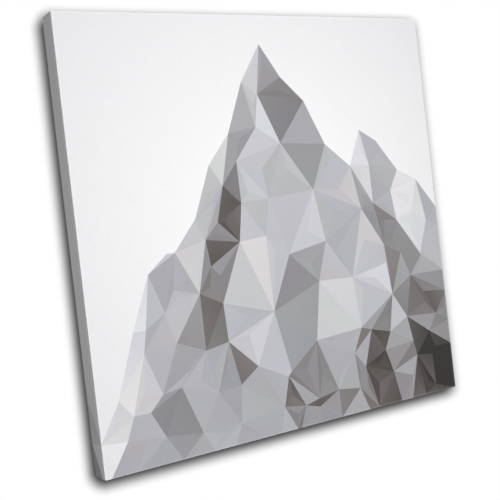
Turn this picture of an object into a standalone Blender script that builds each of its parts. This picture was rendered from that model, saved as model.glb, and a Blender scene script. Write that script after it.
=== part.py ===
"""Square stretched canvas print: one printed canvas wrapped over the edges of a mitred pine stretcher frame.

The print faces -Y and +Z is up. The back of the turned-over canvas lies in the plane y = 0, which meets the wall,
and the origin is the middle of the top turnover.
"""

import math

import bmesh
import bpy
from mathutils import Vector

# The finished picture, in metres
PICTURE_WIDTH = 0.610
PICTURE_HEIGHT = 0.610
OVERALL_DEPTH = 0.038
CORNER_RADIUS = 0.003
TOP_RIGHT_CORNER_RADIUS = 0.010
FOLD_RADIUS = 0.002

# The canvas
CANVAS_THICKNESS = 0.0006
TURNOVER_WIDTH = 0.025

# The stretcher bars
BAR_WIDTH = 0.042
BAR_LIP_WIDTH = 0.006
BAR_FRONT_FALL = 0.003
BAR_EASED_EDGE = 0.001

# The gap between pieces that touch
TOUCH_GAP = 0.0003

CORNER_STEPS = 6
FOLD_STEPS = 4
EASED_STEPS = 2
SMOOTH_ANGLE = math.radians(30)
SAME_PLANE = 1e-6

BAR_INSET = CANVAS_THICKNESS + TOUCH_GAP
PICTURE_CENTRE = Vector((0, 0, (TURNOVER_WIDTH - PICTURE_HEIGHT) / 2))


def new_material(name, colour, roughness):
    material = bpy.data.materials.new(name)
    material.use_nodes = True
    shader = material.node_tree.nodes["Principled BSDF"]
    shader.inputs["Base Color"].default_value = (*colour, 1)
    shader.inputs["Roughness"].default_value = roughness
    shader.inputs["Metallic"].default_value = 0
    return material


def new_collection(name):
    collection = bpy.data.collections.new(name)
    bpy.context.scene.collection.children.link(collection)
    return collection


def new_object(name, shape, collection, material=None):
    """Makes an object from a closed bmesh, with its faces pointing out."""
    bmesh.ops.recalc_face_normals(shape, faces=shape.faces)
    mesh = bpy.data.meshes.new(name)
    shape.to_mesh(mesh)
    shape.free()
    mesh.shade_smooth()
    mesh.set_sharp_from_angle(angle=SMOOTH_ANGLE)
    if material is not None:
        mesh.materials.append(material)
    made = bpy.data.objects.new(name, mesh)
    collection.objects.link(made)
    return made


def new_cutter(name, shape, collection):
    cutter = new_object(name, shape, collection)
    cutter.location = PICTURE_CENTRE
    cutter.hide_render = True
    cutter.display_type = "WIRE"
    return cutter


def add_boolean(target, operation, cutter):
    modifier = target.modifiers.new(cutter.name, "BOOLEAN")
    modifier.operation = operation
    modifier.object = cutter
    modifier.solver = "EXACT"


def pulled_along(shape, face, travel):
    """Extrudes one face into a solid."""
    pulled = bmesh.ops.extrude_face_region(shape, geom=[face])["geom"]
    moved = [item for item in pulled if isinstance(item, bmesh.types.BMVert)]
    bmesh.ops.translate(shape, verts=moved, vec=travel)


def cut_away(shape, point, outward):
    """Cuts a solid along a plane, takes away what lies on the outward side and closes the cut."""
    whole = list(shape.verts) + list(shape.edges) + list(shape.faces)
    cut = bmesh.ops.bisect_plane(shape, geom=whole, plane_co=point, plane_no=outward, clear_outer=True)
    rim = [item for item in cut["geom_cut"] if isinstance(item, bmesh.types.BMEdge)]
    bmesh.ops.contextual_create(shape, geom=rim)


def ease_edges(shape, edges, radius, steps):
    bmesh.ops.bevel(shape, geom=edges, offset=radius, segments=steps, profile=0.5, affect="EDGES")


def rounded_outline(width, height, radii):
    """The points of a rectangle in XZ with its own radius at each corner, anticlockwise from the top right."""
    points = []
    for quarter, radius in enumerate(radii):
        side_x = 1 if quarter in (0, 3) else -1
        side_z = 1 if quarter in (0, 1) else -1
        centre = Vector((side_x * (width / 2 - radius), 0, side_z * (height / 2 - radius)))
        for step in range(CORNER_STEPS + 1):
            angle = math.pi / 2 * (quarter + step / CORNER_STEPS)
            points.append(centre + radius * Vector((math.cos(angle), 0, math.sin(angle))))
    return points


def picture_block(inset, back):
    """The picture's block taken in by inset at the sides and front, with rounded corners and a rounded front edge."""
    radii = [TOP_RIGHT_CORNER_RADIUS - inset] + [CORNER_RADIUS - inset] * 3
    outline = rounded_outline(PICTURE_WIDTH - 2 * inset, PICTURE_HEIGHT - 2 * inset, radii)
    front = inset - OVERALL_DEPTH
    block = bmesh.new()
    front_face = block.faces.new([block.verts.new((point.x, front, point.z)) for point in outline])
    pulled_along(block, front_face, (0, back - front, 0))
    front_edges = [
        edge for edge in block.edges if all(abs(vert.co.y - front) < SAME_PLANE for vert in edge.verts)
    ]
    ease_edges(block, front_edges, FOLD_RADIUS - inset, FOLD_STEPS)
    return block


def window_block():
    """What is open behind the canvas, between its turnovers."""
    block = bmesh.new()
    bmesh.ops.create_cube(block, size=1)
    size = (PICTURE_WIDTH - 2 * TURNOVER_WIDTH, OVERALL_DEPTH, PICTURE_HEIGHT - 2 * TURNOVER_WIDTH)
    bmesh.ops.scale(block, vec=size, verts=block.verts)
    return block


def make_canvas(parts, cutters, material):
    """The whole cloth: the front, the four sides and the turnovers, with room for the frame inside."""
    canvas = new_object("canvas", picture_block(0, 0), parts, material)
    canvas.location = PICTURE_CENTRE
    inside = new_cutter("canvas_inside", picture_block(CANVAS_THICKNESS, -CANVAS_THICKNESS), cutters)
    window = new_cutter("canvas_back_window", window_block(), cutters)
    add_boolean(canvas, "DIFFERENCE", inside)
    add_boolean(canvas, "DIFFERENCE", window)


def bar_blank(length):
    """A mitred bar along X, still square at the front and outside, where z = 0 is the picture's outer edge."""
    lip_front = BAR_INSET - OVERALL_DEPTH
    lip_edge = -BAR_INSET - BAR_LIP_WIDTH
    inner_edge = -BAR_INSET - BAR_WIDTH
    section = [
        (-OVERALL_DEPTH, 0),
        (-OVERALL_DEPTH, lip_edge),
        (lip_front, lip_edge),
        (lip_front + BAR_FRONT_FALL, inner_edge),
        (-BAR_INSET, inner_edge),
        (-BAR_INSET, 0),
    ]
    bar = bmesh.new()
    end_face = bar.faces.new([bar.verts.new((-length / 2, y, z)) for y, z in section])
    pulled_along(bar, end_face, (length, 0, 0))
    inner_edges = [
        edge
        for edge in bar.edges
        if all(abs(vert.co.z - inner_edge) < SAME_PLANE for vert in edge.verts)
        and edge.calc_length() > length / 2
    ]
    ease_edges(bar, inner_edges, BAR_EASED_EDGE, EASED_STEPS)
    for side in (-1, 1):
        outward = Vector((side, 0, -1)).normalized()
        corner = Vector((side * length / 2, 0, 0))
        cut_away(bar, corner - outward * TOUCH_GAP / 2, outward)
    return bar


def make_stretcher_frame(parts, cutters, material):
    """Four bars that fill the canvas's folds, each mitred to the next."""
    room = new_cutter("frame_room", picture_block(BAR_INSET, BAR_INSET), cutters)
    bars = {
        "stretcher_bar_top": (0, PICTURE_WIDTH, PICTURE_HEIGHT),
        "stretcher_bar_right": (math.pi / 2, PICTURE_HEIGHT, PICTURE_WIDTH),
        "stretcher_bar_bottom": (math.pi, PICTURE_WIDTH, PICTURE_HEIGHT),
        "stretcher_bar_left": (-math.pi / 2, PICTURE_HEIGHT, PICTURE_WIDTH),
    }
    for name, (turn, length, reach) in bars.items():
        bar = new_object(name, bar_blank(length), parts, material)
        bar.location = PICTURE_CENTRE + Vector((math.sin(turn), 0, math.cos(turn))) * reach / 2
        bar.rotation_euler = (0, turn, 0)
        add_boolean(bar, "INTERSECT", room)


def main():
    for old in list(bpy.data.objects):
        bpy.data.objects.remove(old)
    parts = new_collection("stretched_canvas_print")
    cutters = new_collection("cutters")
    printed_canvas = new_material("printed_canvas", (0.80, 0.80, 0.82), 0.6)
    raw_pine = new_material("raw_pine", (0.72, 0.53, 0.33), 0.7)
    make_canvas(parts, cutters, printed_canvas)
    make_stretcher_frame(parts, cutters, raw_pine)


main()
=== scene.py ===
"""Dresses a square stretched canvas print: the printed cloth, its pine frame, the staples and a plain stage.

The cloth starts flat. A mountain range of facets is laid out on it, its margins are mirrored past the edges,
and it is folded round the frame, with a pleat at each corner. Lengths are in metres, in the frame's axes:
the print faces -Y, +Z is up, and the back of the canvas lies at y = 0.
"""

import math
import random
from typing import NamedTuple

import bmesh
import bpy
from bpy.props import FloatProperty, FloatVectorProperty, IntProperty, PointerProperty
from mathutils import Matrix, Vector, noise
from mathutils.geometry import delaunay_2d_cdt


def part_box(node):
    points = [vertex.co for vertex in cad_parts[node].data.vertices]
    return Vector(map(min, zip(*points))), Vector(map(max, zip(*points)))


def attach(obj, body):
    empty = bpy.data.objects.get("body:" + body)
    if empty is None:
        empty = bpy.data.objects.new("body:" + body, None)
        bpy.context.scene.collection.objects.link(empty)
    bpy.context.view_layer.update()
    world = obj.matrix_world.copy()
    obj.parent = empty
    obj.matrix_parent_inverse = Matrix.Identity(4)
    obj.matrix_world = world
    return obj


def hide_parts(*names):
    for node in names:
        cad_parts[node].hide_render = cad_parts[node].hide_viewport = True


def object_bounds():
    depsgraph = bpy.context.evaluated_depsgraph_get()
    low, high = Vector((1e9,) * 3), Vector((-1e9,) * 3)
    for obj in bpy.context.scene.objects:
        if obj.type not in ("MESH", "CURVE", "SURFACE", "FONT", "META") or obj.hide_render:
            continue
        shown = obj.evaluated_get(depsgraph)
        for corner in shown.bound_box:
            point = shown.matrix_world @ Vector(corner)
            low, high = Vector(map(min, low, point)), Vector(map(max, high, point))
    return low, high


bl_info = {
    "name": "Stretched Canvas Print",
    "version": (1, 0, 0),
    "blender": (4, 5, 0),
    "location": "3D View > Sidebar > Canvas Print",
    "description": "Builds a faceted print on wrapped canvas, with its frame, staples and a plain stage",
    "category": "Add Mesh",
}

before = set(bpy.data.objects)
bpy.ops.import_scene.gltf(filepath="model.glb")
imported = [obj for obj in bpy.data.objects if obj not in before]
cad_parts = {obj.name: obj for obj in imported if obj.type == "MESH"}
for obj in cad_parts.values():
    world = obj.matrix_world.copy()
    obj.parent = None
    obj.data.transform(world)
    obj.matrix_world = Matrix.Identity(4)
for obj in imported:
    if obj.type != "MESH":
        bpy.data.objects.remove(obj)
CAD_LOW, CAD_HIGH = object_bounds()

# The picture's own sizes come from the frame
HALF_WIDTH = (CAD_HIGH.x - CAD_LOW.x) / 2
HALF_HEIGHT = (CAD_HIGH.z - CAD_LOW.z) / 2
DEPTH = CAD_HIGH.y - CAD_LOW.y
CENTRE_HEIGHT = (CAD_HIGH.z + CAD_LOW.z) / 2
HALF_ALONG_AXIS = {0: HALF_WIDTH, 2: HALF_HEIGHT}
BAR_NAMES = [name for name in sorted(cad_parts) if name.startswith("stretcher_bar")]

MILLIMETRE = 0.001
SMOOTH_ANGLE = math.radians(35)
CUT_TOLERANCE = 1e-7
WELD_DISTANCE = 1e-6

# Layers that the cloth's mesh carries, and its materials in order
INK_LAYER = "print_ink"
PICTURE_MAP = "picture"
CLOTH_MAP = "cloth"
PRINT, PRIMER, REVERSE = range(3)


def millimetres(*sizes):
    return tuple(size * MILLIMETRE for size in sizes)


def ink(code):
    """A colour in linear light from its six hexadecimal digits."""
    parts = [part / 255 for part in bytes.fromhex(code)]
    return tuple(part / 12.92 if part <= 0.04045 else ((part + 0.055) / 1.055) ** 2.4 for part in parts)


def soft_step(share):
    """Rises smoothly from 0 to 1 as share does."""
    share = min(max(share, 0.0), 1.0)
    return share * share * (3 - 2 * share)


def between(low, high, share):
    return low + (high - low) * share


class Range(NamedTuple):
    """One row of mountains, in shares of the picture's side from its lower left corner."""

    skyline: list
    ridges: list
    spacing: float
    steepness: float
    darkest: float
    lightest: float


# The rows from the nearest to the farthest. Each skyline runs from left to right.
NEAR_KNOLL = Range(
    skyline=[
        (0.50, 0.0), (0.56, 0.04), (0.62, 0.07), (0.68, 0.15), (0.74, 0.20), (0.80, 0.185), (0.86, 0.215),
        (0.93, 0.165), (1.0, 0.12),
    ],
    ridges=[
        [(0.74, 0.20), (0.71, 0.11), (0.74, 0.0)],
        [(0.86, 0.215), (0.88, 0.11), (0.85, 0.0)],
    ],
    spacing=0.060, steepness=1.1, darkest=-0.60, lightest=0.28,
)
NEAR_SLOPE = Range(
    skyline=[
        (0.015, 0.0), (0.06, 0.07), (0.12, 0.12), (0.20, 0.16), (0.27, 0.23), (0.33, 0.24), (0.40, 0.17),
        (0.48, 0.13), (0.56, 0.06), (0.64, 0.0),
    ],
    ridges=[
        [(0.12, 0.12), (0.15, 0.06), (0.13, 0.0)],
        [(0.33, 0.24), (0.29, 0.13), (0.34, 0.05), (0.32, 0.0)],
        [(0.48, 0.13), (0.46, 0.06), (0.49, 0.0)],
    ],
    spacing=0.090, steepness=0.9, darkest=0.22, lightest=0.74,
)
MAIN_MASSIF = Range(
    skyline=[
        (0.045, 0.0), (0.08, 0.12), (0.12, 0.25), (0.18, 0.33), (0.22, 0.46), (0.28, 0.53), (0.33, 0.65),
        (0.39, 0.72), (0.44, 0.84), (0.50, 0.93), (0.55, 0.85), (0.61, 0.79), (0.66, 0.68), (0.73, 0.62),
        (0.79, 0.52), (0.86, 0.47), (0.93, 0.37), (1.0, 0.32),
    ],
    ridges=[
        [
            (0.50, 0.93), (0.48, 0.81), (0.53, 0.69), (0.48, 0.56), (0.52, 0.42), (0.46, 0.29), (0.49, 0.14),
            (0.47, 0.0),
        ],
        [(0.39, 0.72), (0.36, 0.60), (0.30, 0.48), (0.27, 0.36), (0.20, 0.26), (0.17, 0.13), (0.13, 0.0)],
        [(0.53, 0.69), (0.61, 0.57), (0.63, 0.44), (0.70, 0.34), (0.71, 0.21), (0.76, 0.08), (0.77, 0.0)],
        [(0.73, 0.62), (0.75, 0.51), (0.81, 0.41), (0.82, 0.28), (0.88, 0.16), (0.90, 0.05)],
    ],
    spacing=0.105, steepness=1.1, darkest=0.20, lightest=0.92,
)
FAR_RANGE = Range(
    skyline=[
        (0.02, 0.0), (0.05, 0.16), (0.10, 0.30), (0.15, 0.42), (0.20, 0.46), (0.60, 0.60), (0.70, 0.64),
        (0.77, 0.71), (0.82, 0.68), (0.88, 0.60), (0.94, 0.57), (1.0, 0.49),
    ],
    ridges=[
        [(0.15, 0.42), (0.13, 0.30), (0.16, 0.15)],
        [(0.77, 0.71), (0.79, 0.62), (0.76, 0.52)],
        [(0.94, 0.57), (0.96, 0.46), (0.93, 0.38)],
    ],
    spacing=0.110, steepness=0.7, darkest=0.70, lightest=1.05,
)
RANGES = [NEAR_KNOLL, NEAR_SLOPE, MAIN_MASSIF, FAR_RANGE]

# How much of the range is as dark as each tone or darker
TONES = [
    (0.00, "292827"), (0.01, "33302f"), (0.05, "54504e"), (0.10, "747070"), (0.20, "868587"),
    (0.30, "939397"), (0.40, "9fa0a4"), (0.50, "a8a8ad"), (0.60, "aeafb4"), (0.70, "b7b7bc"),
    (0.80, "bebec3"), (0.90, "c7c7cb"), (0.97, "d5d5d8"), (1.00, "dcdcdf"),
]
# Faint tints that keep the greys from looking alike. The darkest share of the rock is always warm.
TINTS = [
    (1.0, 1.0, 1.0), (0.985, 0.995, 1.012), (1.012, 0.992, 1.012), (1.03, 0.996, 0.978), (1.0, 1.006, 0.972),
]
WARM_ROCK = (1.03, 0.99, 0.97)
WARM_ROCK_SHARE = 0.12

# How the loose points are scattered, in shares of the picture's side or of their own spacing
LOOSE_TRIES = 1500
LOOSE_MARGIN = 0.02
CROWDING = 0.9
SKYLINE_CLEARANCE = 0.4
FIXED_CLEARANCE = 0.62
RIM_SPACING = 0.09
RIM_SCATTER = 0.25
RIM_CLEARANCE = 0.03
SAME_POINT = 1e-5

# How many patches lie along the picture's side, in which points crowd and tones change, or slopes are rough
PATCHES = 4
ROUGH_PATCHES = 8
# The noise's layers: how far a row's spacing, or a facet's number, moves through it
CROWDING_LAYERS = 50
ROUGH_LAYERS = 100
BLUSH_LAYERS = 0.37

# The slopes' shape, and how squarely the pictured sun strikes the dimmest and the brightest of them
ROUGH_HEIGHT = 0.018
FOOT_SLOPE = 0.35
DIMMEST_FACING = 0.30
FACING_SPAN = 0.68

# How near an edge a facet's split may come, as the least weight of a corner
LEAST_SPLIT_WEIGHT = 0.15


def amount(name, description, default):
    return FloatProperty(name=name, description=description, default=default)


def length(name, description, default):
    """A length, with its default in millimetres."""
    return FloatProperty(name=name, description=description, unit="LENGTH", default=default * MILLIMETRE)


def lengths(name, description, *defaults):
    size = len(defaults)
    default = millimetres(*defaults)
    return FloatVectorProperty(name=name, description=description, size=size, unit="LENGTH", default=default)


def shade(name, description, code):
    """A colour, with its default as six hexadecimal digits."""
    return FloatVectorProperty(name=name, description=description, subtype="COLOR", default=ink(code))


class PrintSettings(bpy.types.PropertyGroup):
    """The picture on the cloth."""

    seed: IntProperty(name="Seed", description="Chooses the loose points of the facets", default=11)
    ground_middle: shade("Ground Middle", "The glow behind the range", "f4f4f5")
    ground_rim: shade("Ground Rim", "The ground at the corners", "dedee0")
    light_across: amount("Light Across", "How far left the pictured sun stands", -0.62)
    light_up: amount("Light Up", "How high the pictured sun stands", 0.38)
    tone_scatter: amount("Tone Scatter", "How unlike equal facets are", 0.06)
    edge_wear: amount("Edge Wear", "How white the folds have worn", 0.07)
    # Painted light: the sides are made paler near the front fold, where it turns towards the light
    painted_side_light: amount("Painted Side Light", "How much paler the sides start", 0.06)
    # Painted highlight: a pale line painted along the left and bottom front edges
    painted_edge_highlight: amount("Painted Edge Highlight", "How pale the painted highlight is along the left and bottom edges", 0.10)
    blush: amount("Blush", "How much tone changes inside a facet", 0.09)
    split_area: amount("Split Area", "Facets larger than this may be split", 0.0012)
    split_share: amount("Split Share", "How many of those facets are split", 0.45)
    split_contrast: amount("Split Contrast", "How unlike the parts of a split facet are", 0.02)


class ClothSettings(bpy.types.PropertyGroup):
    """The canvas and the way it is folded."""

    thickness: length("Thickness", "Of the canvas", 0.45)
    turnover: length("Turnover", "Width at the back", 25)
    bleed: length("Bleed", "How far the print goes on behind", 5)
    front_fold: length("Front Fold", "Radius of the fold at the front", 1.2)
    back_fold: length("Back Fold", "Radius of the fold at the back", 1.5)
    corner_radius: length("Corner Radius", "Of three corners", 1.8)
    soft_corner_radius: length("Soft Corner Radius", "Of the top right corner", 8)
    tuck: length("Tuck", "Length of cloth hidden under a pleat", 8)
    pleat_height: length("Pleat Height", "How far a pleat stands up", 0.6)
    pleat_width: length("Pleat Width", "Of the cloth folded under", 30)
    thread_pitch: length("Thread Pitch", "Of the weave", 0.5)
    primer_colour: shade("Primer", "The unprinted white coat", "ecebe7")
    reverse_colour: shade("Reverse", "The raw back of the cloth", "dcd5c6")


class FrameSettings(bpy.types.PropertyGroup):
    """The wood and the fastenings."""

    early_wood: shade("Early Wood", "The pale wood", "dfc193")
    late_wood: shade("Late Wood", "The dark lines", "b98a55")
    knot_colour: shade("Knots", "The middle of a knot", "6e4526")
    ring_spacing: length("Ring Spacing", "Between growth rings", 4.5)
    staple_spacing: length("Staple Spacing", "Along a turnover", 52)
    staple_length: length("Staple Length", "Of the crown", 10.6)
    wire_width: length("Wire Width", "Of a staple", 1.25)
    wire_thickness: length("Wire Thickness", "Of a staple", 0.55)


class StageSettings(bpy.types.PropertyGroup):
    """The room, the light and the camera."""

    room_light: amount("Room Light", "Light from all round", 0.13)
    key_light: amount("Key Light", "Sun from the front right", 3.46)
    side_light: amount("Side Light", "Sun that grazes the left side", 0.8)
    back_light: amount("Back Light", "Sun that only the back sees", 2.4)
    shadow_start: lengths(
        "Shadow Start",
        "Where the wall's shadow starts to fade: left of, right of, below and above the print's outline",
        -16.1, -11.9, -5.6, -18.5,
    )
    shadow_end: lengths("Shadow End", "Where it is gone, in the same order", 23.2, 57.6, 38.8, 23.5)
    shadow_tilt: amount("Shadow Tilt", "How much wider it is at the right", 0.043)
    shadow_corner: amount("Shadow Corner", "How square its right corners are, where 2 is round", 4)
    shadow_floor: amount("Shadow Floor", "The shadow's darkest tone", 0.35)
    lens: FloatProperty(name="Lens", description="Focal length", unit="CAMERA", default=60)


def skyline_height(row, across):
    """How high a row stands at a place across the picture, or below it all where the row doesn't reach."""
    for (left, left_height), (right, right_height) in zip(row.skyline, row.skyline[1:]):
        if left <= across <= right:
            return between(left_height, right_height, (across - left) / (right - left))
    return -1.0


def nearest_row(point, rows):
    """The first of the rows that covers a point, or None for open ground."""
    for row in rows:
        if point.y < skyline_height(row, point.x):
            return row
    return None


def distance_to_lines(point, lines):
    """From a point to the nearest of several polylines."""
    nearest = 1.0
    for line in lines:
        for start, end in zip(line, line[1:]):
            along = end - start
            share = min(max((point - start).dot(along) / along.length_squared, 0), 1)
            nearest = min(nearest, (point - start - along * share).length)
    return nearest


def patchy(point, patches, layer):
    """Smooth noise over the picture, with so many patches along its side. Each layer has its own."""
    return noise.noise(Vector((*point * patches, layer)))


def loose_points(row, nearer, fixed, chance):
    """Scattered points inside a row, some crowded and some far apart, clear of its fixed ones."""
    points = []
    for _ in range(LOOSE_TRIES):
        point = Vector([chance.uniform(LOOSE_MARGIN, 1 - LOOSE_MARGIN) for _ in range(2)])
        reach = row.spacing * (1.0 + CROWDING * patchy(point, PATCHES, row.spacing * CROWDING_LAYERS))
        if (
            nearest_row(point, nearer + [row]) is row
            and skyline_height(row, point.x) - point.y >= reach * SKYLINE_CLEARANCE
            and all((point - other).length >= reach * FIXED_CLEARANCE for other in fixed)
            and all((point - other).length > reach for other in points)
        ):
            points.append(point)
    return points


def rim_points(chance):
    """Points along the picture's edges but the top one, for the facets to end at."""
    points = []
    steps = round(1 / RIM_SPACING)
    for step in range(1, steps):
        share = (step + chance.uniform(-RIM_SCATTER, RIM_SCATTER)) / steps
        points += [Vector((share, 0)), Vector((0, share)), Vector((1, share))]
    return points


def facet_outlines(chance):
    """Joins the skylines, the ridges, the rim and the loose points into triangles."""
    points = [Vector(corner) for corner in ((0, 0), (1, 0), (1, 1), (0, 1))]
    edges = [(0, 1), (1, 2), (2, 3), (3, 0)]
    for place, row in enumerate(RANGES):
        nearer = RANGES[:place]
        for line in [row.skyline] + row.ridges:
            joined = False
            for point in map(Vector, line):
                shown = nearest_row(point, nearer) is None
                if shown:
                    points.append(point)
                    if joined:
                        edges.append((len(points) - 2, len(points) - 1))
                joined = shown
        points += loose_points(row, nearer, points, chance)
    rim = rim_points(chance)
    points += [point for point in rim if all((point - other).length > RIM_CLEARANCE for other in points)]
    points, _, triangles, _, _, _ = delaunay_2d_cdt(points, edges, [], 0, SAME_POINT)
    return [Vector(point[:2]) for point in points], triangles


def area_of(corners):
    return abs((corners[1] - corners[0]).cross(corners[2] - corners[0])) / 2


def brightness_of(row, corners, sun):
    """How a facet of a row would be lit, from the slopes that fall away from the row's ridges."""
    ridges = [list(map(Vector, ridge)) for ridge in row.ridges]
    raised = []
    for corner in corners:
        fall = distance_to_lines(corner, ridges)
        bump = patchy(corner, ROUGH_PATCHES, row.spacing * ROUGH_LAYERS) * ROUGH_HEIGHT
        raised.append(Vector((corner.x, corner.y, bump - row.steepness * fall - FOOT_SLOPE * corner.y)))
    facing = (raised[1] - raised[0]).cross(raised[2] - raised[0]).normalized()
    if facing.z < 0:
        facing = -facing
    lit = soft_step((facing.dot(sun) - DIMMEST_FACING) / FACING_SPAN)
    return between(row.darkest, row.lightest, lit)


def lit_facets(settings, chance):
    """The picture's points, and each facet's triangle with how it is lit, or None on open ground."""
    points, triangles = facet_outlines(chance)
    sun = Vector((settings.light_across, settings.light_up, 1.0)).normalized()
    facets = []
    for triangle in triangles:
        corners = [points[index] for index in triangle]
        row = nearest_row(sum(corners, Vector((0, 0))) / 3, RANGES)
        if row is None:
            facets.append((triangle, None))
            continue
        bright = brightness_of(row, corners, sun) + chance.gauss(0, settings.tone_scatter)
        if area_of(corners) < settings.split_area or chance.random() > settings.split_share:
            facets.append((triangle, bright))
            continue
        weights = [chance.uniform(LEAST_SPLIT_WEIGHT, 1) for _ in corners]
        weighed = sum((corner * weight for corner, weight in zip(corners, weights)), Vector((0, 0)))
        points.append(weighed / sum(weights))
        for start in range(3):
            part = (triangle[start], triangle[(start + 1) % 3], len(points) - 1)
            facets.append((part, bright + chance.gauss(0, settings.split_contrast)))
    return points, facets


def tone_colour(tone, tint):
    """A colour on the scale of greys, with its tint."""
    tone = min(max(tone, 0.0), 1.0)
    for (low, dark), (high, light) in zip(TONES, TONES[1:]):
        if tone <= high:
            share = (tone - low) / (high - low)
            return [between(a, b, share) * c for a, b, c in zip(ink(dark), ink(light), tint)]


def facet_colours(points, facets, settings, chance):
    """Each facet's corner colours, or None on open ground. They share the scale of greys out by area."""
    shown = [number for number, (_, bright) in enumerate(facets) if bright is not None]
    shown.sort(key=lambda number: facets[number][1])
    corners = {number: [points[index] for index in facets[number][0]] for number in shown}
    whole = sum(map(area_of, corners.values()))
    colours = [None] * len(facets)
    darker = 0.0
    for number in shown:
        area = area_of(corners[number])
        tone = (darker + area / 2) / whole
        darker += area
        tint = chance.choice(TINTS) if tone > WARM_ROCK_SHARE else WARM_ROCK
        colours[number] = []
        for corner in corners[number]:
            blush = patchy(corner, PATCHES, number * BLUSH_LAYERS) * settings.blush
            colours[number].append(tone_colour(tone + blush, tint))
    return colours


def flat_picture(settings):
    """The flat printed front as a bmesh in XZ, facing -Y, with its colours and its place in the picture."""
    chance = random.Random(settings.seed)
    points, facets = lit_facets(settings, chance)
    colours = facet_colours(points, facets, settings, chance)
    flat = bmesh.new()
    inks = flat.loops.layers.float_color.new(INK_LAYER)
    picture = flat.loops.layers.uv.new(PICTURE_MAP)
    width, height = 2 * HALF_WIDTH, 2 * HALF_HEIGHT
    verts = [flat.verts.new(((p.x - 0.5) * width, 0, (p.y - 0.5) * height)) for p in points]
    for (triangle, _), shades in zip(facets, colours):
        face = flat.faces.new([verts[index] for index in triangle])
        for corner, loop in enumerate(face.loops):
            loop[inks] = (*shades[corner], 1) if shades else (1, 1, 1, 0)
            loop[picture].uv = points[triangle[corner]]
    bmesh.ops.recalc_face_normals(flat, faces=flat.faces)
    if sum(face.normal.y for face in flat.faces) > 0:
        bmesh.ops.reverse_faces(flat, faces=flat.faces)
    return flat


def cut_lines(shape, axis, places, chosen=None):
    """Cuts the flat cloth along straight lines across one axis, all of it or only the chosen faces."""
    way = Vector((1, 0, 0)) if axis == 0 else Vector((0, 0, 1))
    for place in places:
        faces = [face for face in shape.faces if chosen is None or chosen(face.calc_center_median())]
        around = dict.fromkeys(edge for face in faces for edge in face.edges)
        corners = dict.fromkeys(vert for face in faces for vert in face.verts)
        whole = [*faces, *around, *corners]
        bmesh.ops.bisect_plane(shape, geom=whole, plane_co=way * place, plane_no=way, dist=CUT_TOLERANCE)


def mirror_margin(shape, axis, edge, reach):
    """Adds a strip past one edge of the flat cloth, as a mirror image of what lies inside it."""
    side = math.copysign(1, edge)
    cut_lines(shape, axis, [edge - side * reach])
    strip = [face for face in shape.faces if (face.calc_center_median()[axis] - edge) * side > -reach]
    copied = bmesh.ops.duplicate(shape, geom=strip)["geom"]
    for item in copied:
        if isinstance(item, bmesh.types.BMVert):
            item.co[axis] = 2 * edge - item.co[axis]
    bmesh.ops.reverse_faces(shape, faces=[item for item in copied if isinstance(item, bmesh.types.BMFace)])
    bmesh.ops.remove_doubles(shape, verts=shape.verts, dist=WELD_DISTANCE)


# How deep the cloth lies where it is covered or tucked under, in its own thicknesses
COVERED_SINK = 0.98
TUCKED_DROP = 2.1
TUCKED_SINK = 0.8 * COVERED_SINK

# How soon the side dives under the top, how far turnovers overlap at a mitre, how soon a pleat forms,
# how wide its lip and its slope are, and where a turnover starts to draw in towards the corner
DIVE_LENGTH = 1.5 * MILLIMETRE
MITRE_OVERLAP = 4 * MILLIMETRE
PLEAT_FORMING = 5 * MILLIMETRE
PLEAT_LIP = 0.8 * MILLIMETRE
PLEAT_SLOPE = 8 * MILLIMETRE
DRAWN_IN = 60 * MILLIMETRE


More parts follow.
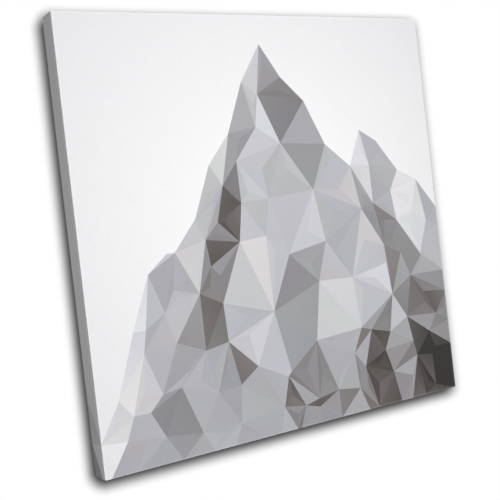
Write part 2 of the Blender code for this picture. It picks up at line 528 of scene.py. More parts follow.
class Fold:
    """Where each point of the flat cloth comes to lie once it is wrapped round the frame.

    A place is worked out in one quarter of the picture, where both distances from the middle are positive.
    """

    def __init__(self, cloth):
        self.front = cloth.front_fold
        self.back = cloth.back_fold
        self.turnover = cloth.turnover
        self.pleat_height = cloth.pleat_height
        self.pleat_width = cloth.pleat_width
        self.small = cloth.corner_radius
        self.large = cloth.soft_corner_radius
        self.thickness = cloth.thickness

    def profile(self, past):
        """For a distance past the picture's edge: how far out, how deep, and which way the cloth faces."""
        if past <= -self.front:
            return past, 0.0, -math.pi / 2
        if past < self.front:
            turn = (past + self.front) / (2 * self.front) * math.pi / 2
            return self.front * (math.sin(turn) - 1), self.front * (1 - math.cos(turn)), turn - math.pi / 2
        if past <= DEPTH - self.back:
            return 0.0, past, 0.0
        if past < DEPTH + self.back:
            turn = (past - DEPTH + self.back) / (2 * self.back) * math.pi / 2
            return self.back * (math.cos(turn) - 1), DEPTH + self.back * (math.sin(turn) - 1), turn
        return DEPTH - past, DEPTH, math.pi / 2

    def placed(self, outline, normal, past, lift=0.0):
        """A point on the wrapped cloth: a place on its outline, moved by the profile and lifted off."""
        out, deep, turn = self.profile(past)
        facing = Vector((normal[0] * math.cos(turn), math.sin(turn), normal[1] * math.cos(turn)))
        base = Vector((outline[0] + normal[0] * out, deep - DEPTH, outline[1] + normal[1] * out))
        return base + facing * lift

    def turned_over(self, outline, normal, past, lift, inner):
        """A point past the sides: on the back fold, or on the turnover, whose edge is at inner."""
        behind = past - DEPTH
        if behind <= self.back:
            return self.placed(outline, normal, past, lift)
        start = self.placed(outline, normal, DEPTH + self.back)
        share = (behind - self.back) / (self.turnover - self.back)
        return start.lerp(inner, share) + Vector((0, lift, 0))

    def round_corner(self, angle, radius):
        """The place on a rounded corner's outline, and the way out there, at an angle from the right."""
        normal = (math.cos(angle), math.sin(angle))
        return (HALF_WIDTH - radius + radius * normal[0], HALF_HEIGHT - radius + radius * normal[1]), normal

    def pleat_reach(self, past):
        """How far the cloth under a pleat reaches back from the corner, at a distance past the edge."""
        return min(past / DEPTH, 1) * self.pleat_width

    def on_front(self, across, up, radius):
        """The front and its rounded edge."""
        past_x = across - (HALF_WIDTH - radius)
        past_z = up - (HALF_HEIGHT - radius)
        if past_x > 0 and past_z > 0:
            angle = math.pi / 4 * (past_z / past_x if past_x >= past_z else 2 - past_x / past_z)
            return self.placed(*self.round_corner(angle, radius), max(past_x, past_z) - radius)
        if past_x > past_z:
            return self.placed((HALF_WIDTH, up), (1, 0), across - HALF_WIDTH)
        return self.placed((across, HALF_HEIGHT), (0, 1), up - HALF_HEIGHT)

    def on_side(self, across, up, radius):
        """The right band, which goes round the corner and under the top band."""
        past = across - HALF_WIDTH
        beyond = up - (HALF_HEIGHT - radius)
        quarter = 2 * (radius + self.front)
        if beyond <= 0:
            outline, normal = (HALF_WIDTH, up), (1, 0)
        elif beyond <= quarter:
            outline, normal = self.round_corner(math.pi / 2 * beyond / quarter, radius)
        else:
            outline, normal = (HALF_WIDTH - radius - beyond + quarter, HALF_HEIGHT), (0, 1)
        diving = soft_step((beyond - quarter / 2) / DIVE_LENGTH)
        mitred = soft_step((past - DEPTH + MITRE_OVERLAP - (HALF_HEIGHT - up)) / MITRE_OVERLAP)
        mitred *= soft_step((past - DEPTH + self.back) / (4 * self.back))
        lift = -self.thickness * COVERED_SINK * max(diving, mitred)
        end_height = min(up, HALF_HEIGHT - radius + (radius - self.back) * math.sqrt(0.5))
        inner = Vector((HALF_WIDTH - self.turnover, 0, end_height))
        return self.turned_over(outline, normal, past, lift, inner)

    def on_top(self, across, up, radius):
        """The top band, whose folded end lies along the corner over the side band."""
        past = up - HALF_HEIGHT
        end = HALF_WIDTH + self.front
        beyond = across - end
        line = end - abs(beyond) if beyond > 0 else across
        settled = soft_step((past - self.front) / PLEAT_FORMING)
        lift = self.pleat_height * settled * soft_step((self.pleat_reach(past) - end + line) / PLEAT_SLOPE)
        turned = soft_step((beyond + PLEAT_LIP) / (2 * PLEAT_LIP))
        if turned > 0:
            drop = turned * settled * TUCKED_DROP * self.thickness
            lift = max(lift - drop, -TUCKED_SINK * self.thickness)
        round_part = line - (HALF_WIDTH - radius)
        outline, normal = (line, HALF_HEIGHT), (0, 1)
        if round_part > 0:
            angle = math.pi / 2 - math.pi / 4 * round_part / (radius + self.front)
            outline, normal = self.round_corner(angle, radius)
        straight = HALF_WIDTH - DRAWN_IN
        squeeze = (DRAWN_IN - self.turnover) / (end - straight)
        inner_line = line if line < straight else straight + (line - straight) * squeeze
        inner = Vector((inner_line, 0, HALF_HEIGHT - self.turnover))
        return self.turned_over(outline, normal, past, lift, inner)

    def wrap(self, shape, place):
        """Moves every point of a flat shape to where place puts it, in whichever quarter it lies."""
        for vert in shape.verts:
            across, _, up = vert.co
            radius = self.large if across > 0 and up > 0 else self.small
            point = place(abs(across), abs(up), radius)
            side_x = math.copysign(1, across)
            side_z = math.copysign(1, up)
            vert.co = (side_x * point.x, point.y, side_z * point.z + CENTRE_HEIGHT)


def delete_faces(shape, unwanted):
    """Deletes the faces whose middle, taken without its signs, is unwanted."""
    faces = []
    for face in shape.faces:
        middle = face.calc_center_median()
        if unwanted(abs(middle.x), abs(middle.z)):
            faces.append(face)
    bmesh.ops.delete(shape, geom=faces, context="FACES")


def both_ways(places):
    return [sign * place for place in places for sign in (-1, 1)]


# The cuts that let the cloth bend: beside each fold, in a grid near the corners, and round the soft corner
FOLD_MARGIN = 1 * MILLIMETRE
CORNER_GRID = 4 * MILLIMETRE
CORNER_GRID_MARGIN = 3
SOFT_CORNER_STEPS = 5
SOFT_CORNER_PATCH = 20 * MILLIMETRE


def crease_places(cloth):
    """How far past the picture's edge the cloth bends, ends its print, or turns back at a pleat."""
    front, back = cloth.front_fold, cloth.back_fold
    places = [-cloth.corner_radius, -front - FOLD_MARGIN, front + FOLD_MARGIN, cloth.soft_corner_radius]
    places.append(DEPTH - back - FOLD_MARGIN)
    for share in (-1, -0.5, 0, 0.5, 1):
        places += [front * share, DEPTH + back * share]
    places += [DEPTH + back + FOLD_MARGIN, DEPTH + cloth.bleed]
    places += [front - PLEAT_LIP * share for share in (-1, -0.5, 0.5, 1)]
    return places + [front + cloth.tuck]


def near_corner(reach):
    """A test for what lies within reach of a corner of the picture, on the bands and turnovers."""

    def test(point):
        past = (abs(point.x) - HALF_WIDTH, abs(point.z) - HALF_HEIGHT)
        return min(past) > -reach and max(past) > 0

    return test


def at_soft_corner(point):
    return point.x > HALF_WIDTH - SOFT_CORNER_PATCH and point.z > HALF_HEIGHT - SOFT_CORNER_PATCH


def flat_cloth(print_settings, cloth):
    """The whole cloth, flat and finely cut: the picture, its mirrored margins and the blank turnovers."""
    flat = flat_picture(print_settings)
    for axis, half in HALF_ALONG_AXIS.items():
        for edge in (-half, half):
            mirror_margin(flat, axis, edge, DEPTH + cloth.turnover)
    for axis, half in HALF_ALONG_AXIS.items():
        cut_lines(flat, axis, both_ways([half + place for place in crease_places(cloth)]))
    reach = cloth.pleat_width + CORNER_GRID_MARGIN * CORNER_GRID
    soft = cloth.soft_corner_radius
    for axis, half in HALF_ALONG_AXIS.items():
        fine = [half - reach + CORNER_GRID * step for step in range(int((reach + DEPTH) / CORNER_GRID))]
        cut_lines(flat, axis, both_ways(fine), near_corner(reach))
        steps = [half - soft + soft * step / SOFT_CORNER_STEPS for step in range(SOFT_CORNER_STEPS + 1)]
        cut_lines(flat, axis, steps, at_soft_corner)
    cloth_map = flat.loops.layers.uv.new(CLOTH_MAP)
    for face in flat.faces:
        middle = face.calc_center_median()
        blank = max(abs(middle.x) - HALF_WIDTH, abs(middle.z) - HALF_HEIGHT) > DEPTH + cloth.bleed
        face.material_index = PRIMER if blank else PRINT
        for loop in face.loops:
            loop[cloth_map].uv = (loop.vert.co.x, loop.vert.co.z)
    bmesh.ops.triangulate(flat, faces=flat.faces)
    return flat


def wrapped_cloth(print_settings, cloth):
    """The cloth folded round the frame, as one open surface facing out."""
    flat = flat_cloth(print_settings, cloth)
    fold = Fold(cloth)
    front_x = HALF_WIDTH + fold.front
    front_z = HALF_HEIGHT + fold.front

    def off_front(x, z):
        return x > front_x or z > front_z

    def off_side(x, z):
        over_corner = z > front_z and x > HALF_WIDTH + DEPTH - fold.back
        return x < front_x or z > front_z + cloth.tuck or over_corner

    def off_top(x, z):
        tucked = min(cloth.tuck, max(fold.pleat_reach(z - HALF_HEIGHT) - PLEAT_SLOPE, 0))
        return z < front_z or x > front_x + tucked

    whole = bmesh.new()
    holder = bpy.data.meshes.new("cloth_part")
    for unwanted, place in ((off_front, fold.on_front), (off_side, fold.on_side), (off_top, fold.on_top)):
        part = flat.copy()
        delete_faces(part, unwanted)
        fold.wrap(part, place)
        part.to_mesh(holder)
        part.free()
        whole.from_mesh(holder)
    flat.free()
    bpy.data.meshes.remove(holder)
    bmesh.ops.remove_doubles(whole, verts=whole.verts, dist=WELD_DISTANCE)
    return whole


def in_scene(name, data):
    """Makes an object and puts it in the scene."""
    made = bpy.data.objects.new(name, data)
    bpy.context.scene.collection.objects.link(made)
    return made


def finished_object(name, mesh, materials):
    """Puts a mesh in the scene as a piece that rides on the frame."""
    for material in materials:
        mesh.materials.append(material)
    made = in_scene(name, mesh)
    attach(made, "root")
    return made


def baked(made):
    """Turns an object with modifiers into a plain mesh object of the same name."""
    bpy.context.view_layer.update()
    graph = bpy.context.evaluated_depsgraph_get()
    mesh = bpy.data.meshes.new_from_object(made.evaluated_get(graph))
    made.modifiers.clear()
    old = made.data
    made.data = mesh
    bpy.data.meshes.remove(old)


def sum_on_nodes(operation):
    """A method that adds a math node for its values."""
    return lambda *values: values[0].nodes.math(operation, *values)


class Value:
    """What a node gives out. Sums on it add the nodes that work them out."""

    def __init__(self, nodes, socket):
        self.nodes = nodes
        self.socket = socket

    __add__, __sub__, __mul__ = map(sum_on_nodes, ("ADD", "SUBTRACT", "MULTIPLY"))
    __truediv__, __pow__, __abs__ = map(sum_on_nodes, ("DIVIDE", "POWER", "ABSOLUTE"))


class Nodes:
    """Adds nodes to a tree, giving each input a value or a link."""

    def __init__(self, tree):
        self.tree = tree

    def feed(self, socket, value):
        if isinstance(value, Value):
            self.tree.links.new(value.socket, socket)
        else:
            socket.default_value = value

    def new(self, kind, inputs=(), **settings):
        node = self.tree.nodes.new(kind)
        for name, value in settings.items():
            setattr(node, name, value)
        for key, value in dict(inputs).items():
            self.feed(node.inputs[key], value)
        return node

    def add(self, kind, inputs=(), output=0, **settings):
        """Adds a node and returns one of its outputs."""
        return Value(self, self.new(kind, inputs, **settings).outputs[output])

    def math(self, operation, *values):
        return self.add("ShaderNodeMath", enumerate(values), operation=operation)

    def split(self, vector):
        """The three parts of a vector."""
        return [Value(self, part) for part in self.new("ShaderNodeSeparateXYZ", {0: vector}).outputs]

    def mixed(self, share, first, second, blend="MIX"):
        """Mixes two colours, which a mix node takes in at 6 and 7 and gives out at 2."""
        colours = {0: share, 6: first, 7: second}
        return self.add("ShaderNodeMix", colours, 2, data_type="RGBA", blend_type=blend)

    def toned(self, colour, tone):
        """Makes a colour so many times as bright."""
        grey = self.add("ShaderNodeCombineColor", {0: tone, 1: tone, 2: tone})
        return self.mixed(1.0, colour, grey, "MULTIPLY")

    def ranged(self, value, given, wanted=(0.0, 1.0), smooth=True):
        """Turns one range of values into another, and holds its ends beyond them."""
        names = ("Value", "From Min", "From Max", "To Min", "To Max")
        kind = "SMOOTHSTEP" if smooth else "LINEAR"
        return self.add("ShaderNodeMapRange", zip(names, (value, *given, *wanted)), interpolation_type=kind)

    def band(self, value, rise, fall):
        """Is 1 between its rise and its fall, which are two ranges, and 0 beyond them."""
        return self.ranged(value, rise) * self.ranged(value, fall, (1.0, 0.0))

    def stretched(self, place, scale):
        return self.add("ShaderNodeMapping", {"Vector": place, "Scale": scale})

    def cloudy(self, place, scale, detail=1.0):
        """Noise with so many lumps to a metre along each axis."""
        inputs = {"Vector": self.stretched(place, scale), "Scale": 1.0, "Detail": detail}
        return self.add("ShaderNodeTexNoise", inputs)


def opaque(colour):
    return (*colour, 1.0)


def surface(name, inputs_of):
    """A material. inputs_of gives its shader's inputs by name, from the material's nodes."""
    material = bpy.data.materials.new(name)
    material.use_nodes = True
    nodes = Nodes(material.node_tree)
    shader = material.node_tree.nodes["Principled BSDF"]
    for key, value in inputs_of(nodes).items():
        nodes.feed(shader.inputs[key], value)
    return material


# Threads that are thick for a stretch, in lumps to a metre along each axis, and their height and tone
SLUBS = ((1400, 60, 1), (60, 1400, 1))
SLUB_HEIGHT = 1.4
SLUB_RANGE = (0.6, 1.4)
SLUB_TONES = (0.965, 1.025)


def cloth_material(name, cloth, colour_of, roughness, relief):
    """A woven material. Its relief is in millimetres, and colour_of gives its colour at a place on it."""

    def inputs_of(nodes):
        where = nodes.add("ShaderNodeUVMap", uv_map=CLOTH_MAP)
        x, z, _ = nodes.split(where)
        turn = math.pi / cloth.thread_pitch
        crossing = nodes.math("SINE", x * turn) * nodes.math("SINE", z * turn)
        along, over = [nodes.cloudy(where, slubs) for slubs in SLUBS]
        slubs = along + over
        height = crossing + slubs * SLUB_HEIGHT
        bump = {"Height": height, "Strength": 0.6, "Distance": relief * MILLIMETRE}
        tone = nodes.ranged(slubs, SLUB_RANGE, SLUB_TONES, smooth=False)
        return {
            "Base Color": nodes.toned(colour_of(nodes, where), tone),
            "Normal": nodes.add("ShaderNodeBump", bump),
            "Roughness": roughness,
            "Specular IOR Level": 0.35,
        }

    return surface(name, inputs_of)


# Where the ground's glow starts and ends to fade, from the picture's middle in shares of its side
GLOW_REACH = (0.16, 0.70)
# Distances past the picture's edge at which the print gets paler, and at which it is itself again
FOLD_WEAR = (millimetres(-3.5, -1.2), millimetres(1, 9))
# Painted light on the sides, near the front fold
PAINTED_SIDE_LIGHT_BAND = (millimetres(0, 2), millimetres(7, 14))
# A painted highlight along the left and bottom edges
PAINTED_EDGE_HIGHLIGHT_BAND = (millimetres(-2.6, -0.8), millimetres(0.4, 1.6))
WORN_INK = ink("fafafa")


def printed_colour(settings):
    """The printed picture: facets by their ink, the ground by its place, paler where a fold cracks it, with
    painted light on the sides near the front and a painted highlight at the left and bottom edges.
    """

    def colour_of(nodes, where):
        inks = nodes.new("ShaderNodeAttribute", attribute_name=INK_LAYER).outputs
        inked, shown = Value(nodes, inks["Color"]), Value(nodes, inks["Alpha"])
        from_middle = {0: nodes.add("ShaderNodeUVMap", uv_map=PICTURE_MAP), 1: (0.5, 0.5, 0)}
        away = nodes.add("ShaderNodeVectorMath", from_middle, "Value", operation="DISTANCE")
        glow = nodes.ranged(away, GLOW_REACH, smooth=False)
        ground = nodes.mixed(glow, opaque(settings.ground_middle), opaque(settings.ground_rim))
        x, z, _ = nodes.split(where)
        past = nodes.math("MAXIMUM", abs(x) - HALF_WIDTH, abs(z) - HALF_HEIGHT)
        past_left_or_below = nodes.math("MAXIMUM", x * -1.0 - HALF_WIDTH, z * -1.0 - HALF_HEIGHT)
        wear = nodes.band(past, *FOLD_WEAR) * settings.edge_wear
        worn = nodes.mixed(wear, nodes.mixed(shown, ground, inked), opaque(WORN_INK))
        # Painted light: the sides are made paler near the front fold
        paler = nodes.band(past, *PAINTED_SIDE_LIGHT_BAND) * settings.painted_side_light + 1.0
        # A painted highlight along the left and bottom edges, on top of the painted side light
        return nodes.toned(worn, nodes.band(past_left_or_below, *PAINTED_EDGE_HIGHLIGHT_BAND) * settings.painted_edge_highlight + paler)

    return colour_of


def plain_colour(colour):
    return lambda nodes, where: opaque(colour)


class CANVAS_PRINT_OT_wrap_canvas(bpy.types.Operator):
    """Prints the cloth and folds it round the frame"""

    bl_idname = "canvas_print.wrap_canvas"
    bl_label = "Wrap Canvas"

    def execute(self, context):
        print_settings = context.scene.print_settings
        cloth = context.scene.cloth_settings
        shape = wrapped_cloth(print_settings, cloth)
        mesh = bpy.data.meshes.new("printed_canvas")
        shape.to_mesh(mesh)
        shape.free()
        mesh.shade_smooth()
        mesh.set_sharp_from_angle(angle=SMOOTH_ANGLE)
        materials = [
            cloth_material("canvas_print", cloth, printed_colour(print_settings), 0.58, 0.05),
            cloth_material("canvas_primer", cloth, plain_colour(cloth.primer_colour), 0.75, 0.08),
            cloth_material("canvas_reverse", cloth, plain_colour(cloth.reverse_colour), 0.9, 0.14),
        ]
        canvas = finished_object("printed_canvas", mesh, materials)
        wall = canvas.modifiers.new("cloth_thickness", "SOLIDIFY")
        wall.thickness = cloth.thickness
        wall.offset = -1
        wall.material_offset = REVERSE
        wall.material_offset_rim = REVERSE
        baked(canvas)
        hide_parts("canvas")
        return {"FINISHED"}


# The pine's grain: how fine each pattern is along the bar, through it and across it, in lumps to a metre
GRAIN_DRIFT = (2.4, 16, 16)
GRAIN_WAVER = (1.2, 95, 95)
FIBRES = (18, 1000, 1000)
KNOT_PLACES = (4.2, 11, 14)
# How far drift and waver bend the growth rings, and how they slant through the bar
DRIFT_BEND = 0.11
WAVER_BEND = 0.006
RING_SLANT = 0.35
# Where late wood starts and stops in each ring, and a knot's edge
LATE_WOOD = ((0.25, 0.98), (0.92, 1.0))
LATE_WOOD_TONE = 0.6
LATE_WOOD_RELIEF = 0.5
KNOT_EDGE = (0.13, 0.04)
# How bright the patches and the fibres are, and how rough early and late wood
PATCH_TONES = ((0.3, 0.7), (0.92, 1.06))
FIBRE_TONES = ((0.25, 0.75), (0.9, 1.08))
WOOD_ROUGHNESS = (0.68, 0.55)
# How far into the wood each further bar is cut, so that no two are alike
FIRST_CUT = Vector((0.11, 0, 0))
NEXT_CUT = Vector((0.37, 0.013, 0.029))


def pine_material(name, settings, along_x, shift):
    """Planed pine with its grain along one axis."""

    def inputs_of(nodes):
        place = nodes.add("ShaderNodeTexCoord", output="Object")
        turn = (0, 0, 0) if along_x else (0, math.pi / 2, 0)
        turned = nodes.add("ShaderNodeMapping", {"Vector": place, "Location": shift, "Rotation": turn})
        drift = nodes.cloudy(turned, GRAIN_DRIFT, detail=3.0)
        waver = nodes.cloudy(turned, GRAIN_WAVER)
        fibres = nodes.cloudy(turned, FIBRES, detail=3.0)
        _, through, across = nodes.split(turned)
        bent = across + drift * DRIFT_BEND + waver * WAVER_BEND + through * RING_SLANT
        late = nodes.band(nodes.math("FRACT", bent / settings.ring_spacing), *LATE_WOOD)
        spots = {"Vector": nodes.stretched(turned, KNOT_PLACES), "Scale": 1.0, "Randomness": 1.0}
        knot = nodes.ranged(nodes.add("ShaderNodeTexVoronoi", spots, "Distance", feature="F1"), KNOT_EDGE)
        wood = nodes.mixed(late * LATE_WOOD_TONE, opaque(settings.early_wood), opaque(settings.late_wood))
        patches = nodes.ranged(drift, *PATCH_TONES, smooth=False)
        wood = nodes.toned(wood, nodes.ranged(fibres, *FIBRE_TONES, smooth=False) * patches)
        relief = {"Height": late * LATE_WOOD_RELIEF + fibres, "Strength": 0.35, "Distance": 0.2 * MILLIMETRE}
        return {
            "Base Color": nodes.mixed(knot, wood, opaque(settings.knot_colour)),
            "Normal": nodes.add("ShaderNodeBump", relief),
            "Roughness": nodes.ranged(late, (0, 1), WOOD_ROUGHNESS, smooth=False),
            "Specular IOR Level": 0.35,
        }

    return surface(name, inputs_of)


class CANVAS_PRINT_OT_finish_bars(bpy.types.Operator):
    """Gives each stretcher bar its own piece of pine"""

    bl_idname = "canvas_print.finish_bars"
    bl_label = "Finish Bars"

    def execute(self, context):
        for number, name in enumerate(BAR_NAMES):
            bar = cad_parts[name]
            low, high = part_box(name)
            along_x = high.x - low.x > high.z - low.z
            side = name.rsplit("_", 1)[-1]
            shift = FIRST_CUT + NEXT_CUT * number
            material = pine_material("pine_" + side, context.scene.frame_settings, along_x, shift)
            bar.data.materials.clear()
            bar.data.materials.append(material)
        return {"FINISHED"}


def zinc_wire(nodes):
    """Zinc-coated wire, a little dull."""
    dull = nodes.cloudy(nodes.add("ShaderNodeTexCoord", output="Object"), (900, 900, 900), detail=2.0)
    return {
        "Base Color": nodes.mixed(dull, opaque(ink("9a9b9c")), opaque(ink("c9cacb"))),
        "Roughness": nodes.ranged(dull, (0.3, 0.7), (0.3, 0.5)),
        "Metallic": 1.0,
    }


def staple_tree(material, names):
    """Nodes that drive staples along a mesh's edges, into a back that faces +Y. names are their inputs."""
    tree = bpy.data.node_groups.new("drive_staples", "GeometryNodeTree")
    for way in ("INPUT", "OUTPUT"):
        tree.interface.new_socket("Geometry", in_out=way, socket_type="NodeSocketGeometry")
    for name in names:
        kind = "NodeSocketInt" if name == "Seed" else "NodeSocketFloat"
        tree.interface.new_socket(name, in_out="INPUT", socket_type=kind)
    nodes = Nodes(tree)
    given = {output.name: Value(nodes, output) for output in nodes.new("NodeGroupInput").outputs}

    # Where the staples go, each a little askew. A random number's limits are its inputs 2 and 3.
    seam = nodes.add("GeometryNodeMeshToCurve", {0: given["Geometry"]})
    spaced = {"Curve": seam, "Length": given["Spacing"]}
    spread = nodes.add("GeometryNodeResampleCurve", spaced, mode="LENGTH")
    tangent = {"Vector": nodes.add("GeometryNodeInputTangent")}
    along = nodes.add("FunctionNodeAlignRotationToVector", tangent, axis="X")
    back = {"Rotation": along, "Vector": (0, 1, 0)}
    upright = nodes.add("FunctionNodeAlignRotationToVector", back, axis="Z", pivot_axis="X")
    limits = {2: given["Skew"] * -1.0, 3: given["Skew"], "Seed": given["Seed"]}
    skew = nodes.add("FunctionNodeRandomValue", limits, 1, data_type="FLOAT")
    turn = nodes.add("FunctionNodeEulerToRotation", {0: nodes.add("ShaderNodeCombineXYZ", {"Z": skew})})
    askew = {"Rotation": upright, "Rotate By": turn}
    facing = nodes.add("FunctionNodeRotateRotation", askew, rotation_space="LOCAL")

    # One staple, from four points. The first and the last are the tips of its legs.
    from_middle = nodes.add("GeometryNodeInputIndex") - 1.5
    right = nodes.math("GREATER_THAN", from_middle, 0.0)
    tip = nodes.math("GREATER_THAN", abs(from_middle), 1.0)
    bend = {"X": (right - 0.5) * given["Crown"], "Z": tip * given["Leg"] * -1.0}
    line = nodes.add("GeometryNodeMeshLine", {"Count": 4})
    bent = {"Geometry": line, "Position": nodes.add("ShaderNodeCombineXYZ", bend)}
    wire = nodes.add("GeometryNodeMeshToCurve", {0: nodes.add("GeometryNodeSetPosition", bent)})
    bends = {"Curve": wire, "Count": 3, "Radius": given["Wire Width"]}
    flat_wire = {"Width": given["Wire Thickness"], "Height": given["Wire Width"]}
    sweep = {
        "Curve": nodes.add("GeometryNodeFilletCurve", bends, mode="POLY"),
        "Profile Curve": nodes.add("GeometryNodeCurvePrimitiveQuadrilateral", flat_wire),
        "Fill Caps": True,
    }
    staple = nodes.add("GeometryNodeCurveToMesh", sweep)
    copies = {"Points": spread, "Instance": staple, "Rotation": facing}
    real = nodes.add("GeometryNodeRealizeInstances", {0: nodes.add("GeometryNodeInstanceOnPoints", copies)})
    dressed = nodes.add("GeometryNodeSetMaterial", {"Geometry": real, "Material": material})
    nodes.new("NodeGroupOutput", {0: dressed})
    return tree


# The staples' rows: how far in, in shares of the turnover, and how far out, in shares of the wire
ROW_INSET = 0.55
WIRE_RISE = 0.35
ROW_START = 42 * MILLIMETRE
STAPLE_LEG = 4 * MILLIMETRE
STAPLE_SKEW = math.radians(9)
STAPLE_SEED = 4


def staple_rows(turnover, height):
    """A mesh of one loose edge along each turnover, for the staples to follow."""
    x = HALF_WIDTH - turnover * ROW_INSET
    z = HALF_HEIGHT - turnover * ROW_INSET
    points = []
    for side in (-1, 1):
        points += [(side * x, ROW_START - z), (side * x, z - ROW_START)]
        points += [(ROW_START - x, side * z), (x - ROW_START, side * z)]
    mesh = bpy.data.meshes.new("canvas_staples")
    edges = [(start, start + 1) for start in range(0, len(points), 2)]
    mesh.from_pydata([(x, height, z + CENTRE_HEIGHT) for x, z in points], edges, [])
    return mesh


class CANVAS_PRINT_OT_drive_staples(bpy.types.Operator):
    """Staples the turnovers to the bars"""

    bl_idname = "canvas_print.drive_staples"
    bl_label = "Drive Staples"

    def execute(self, context):
        settings = context.scene.frame_settings
        rows = staple_rows(context.scene.cloth_settings.turnover, settings.wire_thickness * WIRE_RISE)
        staples = finished_object("canvas_staples", rows, [])
        values = {
            "Spacing": settings.staple_spacing,
            "Crown": settings.staple_length,
            "Leg": STAPLE_LEG,
            "Wire Width": settings.wire_width,
            "Wire Thickness": settings.wire_thickness,
            "Skew": STAPLE_SKEW,
            "Seed": STAPLE_SEED,
        }
        modifier = staples.modifiers.new("drive_staples", "NODES")
        modifier.node_group = staple_tree(surface("staple_wire", zinc_wire), values)
        for item in modifier.node_group.interface.items_tree:
            if item.name in values:
                modifier[item.identifier] = values[item.name]
        baked(staples)
        return {"FINISHED"}


# The room, and the way each sun shines
WALL_GAP = 1.5 * MILLIMETRE
ROOM_SIZE = 12
FLOOR_DROP = 1.55
SUN_WAYS = {"key": (-0.35, 1.0, -0.5), "side": (1.0, -0.12, 0.35), "back": (-0.5, -1.0, -0.35)}
SUN_SPREAD = math.radians(24)
DISPLAY_GAMMA = 2.2
ROUND_CORNER = 2.0

# The camera's place, turn and lens shift, as fitted to the photograph's edges of the print
CAMERA_PLACE = (-0.63945, -1.08072, -0.27677)
CAMERA_YAW = math.radians(29.54)
CAMERA_PITCH = math.radians(-0.7455)
CAMERA_ROLL = math.radians(6.5286)
CAMERA_SHIFT = -0.04871
SENSOR_WIDTH = 36


def shadow_strength(nodes, settings):
    """How brightly the wall shines round the print, in the wall's own coordinates."""
    across, up, _ = nodes.split(nodes.add("ShaderNodeTexCoord", output="Object"))
    wider = across * (settings.shadow_tilt / HALF_WIDTH) + 1.0
    past_sides = [across * sign - HALF_WIDTH for sign in (-1.0, 1.0)]
    past_sides += [(up * sign - HALF_HEIGHT) / wider for sign in (-1.0, 1.0)]
    left, right, below, above = [
        nodes.math("MAXIMUM", (past - start) / (end - start), 0.0)
        for past, start, end in zip(past_sides, settings.shadow_start, settings.shadow_end)
    ]
    at_right = nodes.math("GREATER_THAN", across, 0.0)
    power = at_right * (settings.shadow_corner - ROUND_CORNER) + ROUND_CORNER
    reach = ((left + right) ** power + (below + above) ** power) ** nodes.math("DIVIDE", 1.0, power)
    tone = nodes.add("ShaderNodeMapRange", {"Value": reach}, interpolation_type="SMOOTHERSTEP")
    return nodes.math("MAXIMUM", tone, settings.shadow_floor) ** DISPLAY_GAMMA


def backdrop_material(name, settings=None):
    """An evenly white surface, clear from behind. With settings, it carries the print's soft shadow."""
    material = bpy.data.materials.new(name)
    material.use_nodes = True
    material.node_tree.nodes.clear()
    nodes = Nodes(material.node_tree)
    inputs = {"Strength": shadow_strength(nodes, settings)} if settings else {}
    glow = nodes.add("ShaderNodeEmission", inputs)
    behind = nodes.add("ShaderNodeNewGeometry", output="Backfacing")
    clear = nodes.add("ShaderNodeBsdfTransparent")
    both = nodes.add("ShaderNodeMixShader", {0: behind, 1: glow, 2: clear})
    nodes.new("ShaderNodeOutputMaterial", {"Surface": both})
    return material


def stage_plane(name, matrix, material):
    """A square of the room, which takes no part in the light."""
    half = ROOM_SIZE / 2
    corners = [(-half, -half, 0), (half, -half, 0), (half, half, 0), (-half, half, 0)]
    mesh = bpy.data.meshes.new(name)
    mesh.from_pydata(corners, [], [(0, 1, 2, 3)])
    mesh.materials.append(material)
    plane = in_scene(name, mesh)
    plane.matrix_world = matrix
    plane.visible_diffuse = False
    plane.visible_glossy = False
    plane.visible_shadow = False


class CANVAS_PRINT_OT_set_stage(bpy.types.Operator):
    """Builds the wall, the floor and the light"""

    bl_idname = "canvas_print.set_stage"
    bl_label = "Set Stage"

    def execute(self, context):
        scene = context.scene
        settings = scene.stage_settings
        scene.view_settings.view_transform = "Standard"
        wall_place = Matrix.Translation((0, WALL_GAP, CENTRE_HEIGHT)) @ Matrix.Rotation(math.pi / 2, 4, "X")
        stage_plane("stage_wall", wall_place, backdrop_material("stage_wall", settings))
        floor_place = Matrix.Translation((0, 0, CENTRE_HEIGHT - FLOOR_DROP))
        stage_plane("stage_floor", floor_place, backdrop_material("stage_floor"))
        world = bpy.data.worlds.new("stage_world")
        scene.world = world
        world.use_nodes = True
        nodes = Nodes(world.node_tree)
        seen = nodes.add("ShaderNodeLightPath", output="Is Camera Ray")
        background = world.node_tree.nodes["Background"]
        background.inputs["Color"].default_value = (1, 1, 1, 1)
        strength = nodes.ranged(seen, (0, 1), (settings.room_light, 1.0), smooth=False)
        nodes.feed(background.inputs["Strength"], strength)
        for name, way in SUN_WAYS.items():
            light = bpy.data.lights.new("stage_" + name, "SUN")
            light.energy = getattr(settings, name + "_light")
            light.angle = SUN_SPREAD
            in_scene("stage_" + name, light).rotation_euler = Vector(way).to_track_quat("-Z", "Y").to_euler()
        return {"FINISHED"}


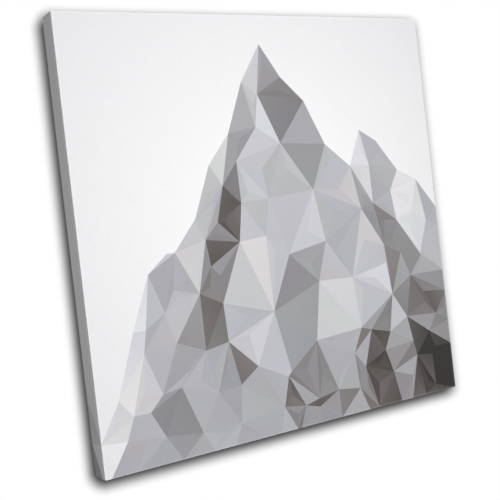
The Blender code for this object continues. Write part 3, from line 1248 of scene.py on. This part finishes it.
class CANVAS_PRINT_OT_place_camera(bpy.types.Operator):
    """Stands the camera where the photograph was taken from"""

    bl_idname = "canvas_print.place_camera"
    bl_label = "Place Camera"

    def execute(self, context):
        camera_data = bpy.data.cameras.new("photo_camera")
        camera_data.lens = context.scene.stage_settings.lens
        camera_data.sensor_width = SENSOR_WIDTH
        camera_data.shift_y = CAMERA_SHIFT
        camera = in_scene("photo_camera", camera_data)
        turn = Matrix.Rotation(-CAMERA_YAW, 4, "Z")
        turn @= Matrix.Rotation(math.pi / 2 + CAMERA_PITCH, 4, "X")
        turn @= Matrix.Rotation(-CAMERA_ROLL, 4, "Z")
        camera.matrix_world = Matrix.Translation(CAMERA_PLACE) @ turn
        context.scene.camera = camera
        return {"FINISHED"}


OPERATORS = [
    CANVAS_PRINT_OT_place_camera,
    CANVAS_PRINT_OT_wrap_canvas,
    CANVAS_PRINT_OT_finish_bars,
    CANVAS_PRINT_OT_drive_staples,
    CANVAS_PRINT_OT_set_stage,
]
SETTINGS = {
    "print_settings": PrintSettings,
    "cloth_settings": ClothSettings,
    "frame_settings": FrameSettings,
    "stage_settings": StageSettings,
}


class CANVAS_PRINT_PT_panel(bpy.types.Panel):
    """The settings and steps of the canvas print"""

    bl_label = "Canvas Print"
    bl_idname = "CANVAS_PRINT_PT_panel"
    bl_space_type = "VIEW_3D"
    bl_region_type = "UI"
    bl_category = "Canvas Print"

    def draw(self, context):
        for name, group in SETTINGS.items():
            box = self.layout.box()
            box.label(text=group.__doc__)
            for key in group.__annotations__:
                box.prop(getattr(context.scene, name), key)
        for operator in OPERATORS:
            self.layout.operator(operator.bl_idname)


def register():
    for name, group in SETTINGS.items():
        bpy.utils.register_class(group)
        setattr(bpy.types.Scene, name, PointerProperty(type=group))
    for made in [*OPERATORS, CANVAS_PRINT_PT_panel]:
        bpy.utils.register_class(made)


def unregister():
    for made in reversed([*OPERATORS, CANVAS_PRINT_PT_panel]):
        bpy.utils.unregister_class(made)
    for name, group in reversed(SETTINGS.items()):
        delattr(bpy.types.Scene, name)
        bpy.utils.unregister_class(group)


def main():
    register()
    for operator in OPERATORS:
        _, step = operator.bl_idname.split(".")
        getattr(bpy.ops.canvas_print, step)()


if __name__ == "__main__":
    main()
